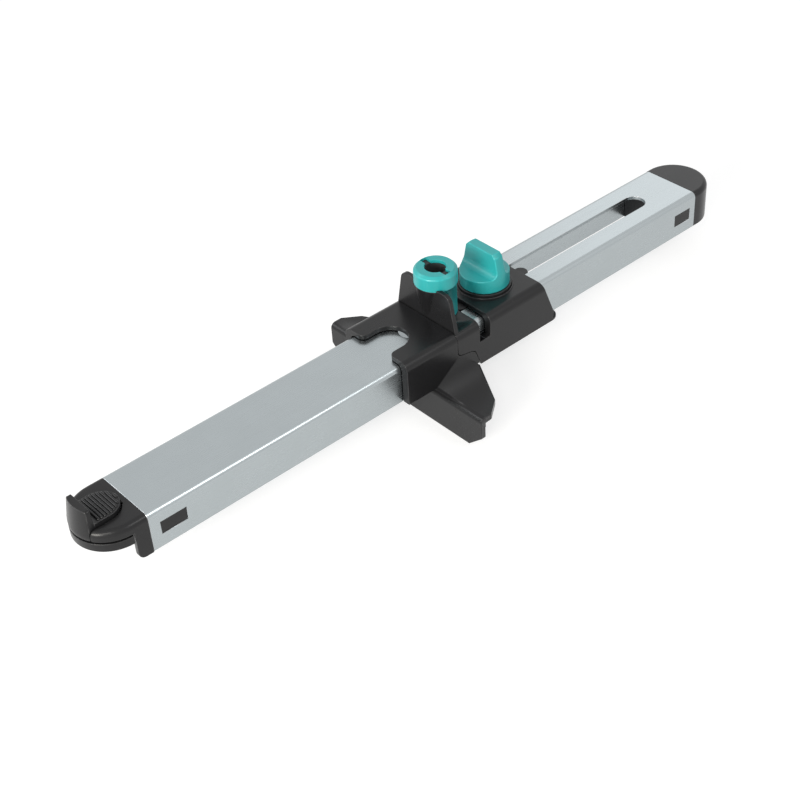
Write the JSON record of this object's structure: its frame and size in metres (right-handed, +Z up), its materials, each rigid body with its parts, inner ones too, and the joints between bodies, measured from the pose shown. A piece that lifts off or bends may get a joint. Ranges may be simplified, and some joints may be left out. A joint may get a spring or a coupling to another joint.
{
  "type": "laminate scriber",
  "caption": "Slotted steel rail with a sliding wall stop at its front and a carriage that holds a pencil over a fence, locked by a winged clamp knob.",
  "frame": {"origin": "on the surface the tool stands on, under the middle of its whole length and width", "axes": "+X along the rail from the wall stop to the rear cap, +Y across the rail to the left, +Z up through the pencil hole"},
  "size_m": [0.3224, 0.088, 0.0548],
  "materials": {
    "zinc_steel": "bright zinc plating with a soft lengthwise grain",
    "black_plastic": "satin moulded plastic with a fine grain",
    "teal_plastic": "satin to glossy moulded plastic",
    "soft_rubber": "soft matte rubber",
    "slip_plastic": "smooth bearing plastic",
    "screw_steel": "zinc-plated",
    "spring_steel": "blued and polished",
    "brass": "turned"
  },
  "bodies": {
    "frame": {"rail": "zinc_steel", "front_cap": "black_plastic", "rear_cap": "black_plastic", "stop_spring": "spring_steel"},
    "wall_stop": {"hook_slider": "black_plastic", "stop_disc": "black_plastic", "stop_screw": "screw_steel"},
    "carriage": {"fence_body": "black_plastic", "slide_housing": "black_plastic", "housing_screws": "screw_steel", "slot_key": "slip_plastic", "pencil_holder": "teal_plastic", "pencil_sleeve": "soft_rubber", "knob_washer": "slip_plastic"},
    "clamp": {"clamp_bolt": "screw_steel", "clamp_plate": "zinc_steel", "plate_carrier": "black_plastic", "friction_pads": "soft_rubber"},
    "knob": {"clamp_knob": "teal_plastic", "knob_insert": "brass"}
  },
  "joints": [
    {"name": "stop_slide", "type": "slide", "parent": "frame", "child": "wall_stop", "axis": [-1, 0, 0], "range_m": [0, 0.01]},
    {"name": "carriage_slide", "type": "slide", "parent": "frame", "child": "carriage", "axis": [1, 0, 0], "range_m": [-0.014, 0.074]},
    {"name": "knob_turn", "type": "hinge", "parent": "carriage", "child": "knob", "pos_m": [0.0311, 0, 0.0356], "axis": [0, 0, 1], "range_deg": [-100, 180]},
    {"name": "clamp_lift", "type": "slide", "parent": "carriage", "child": "clamp", "axis": [0, 0, 1], "range_m": [-0.0005, 0.000275]}
  ],
  "couplings": [
    {"joint": "knob_turn", "follows": "clamp_lift", "rad_per_m": -6283.2}
  ]
}
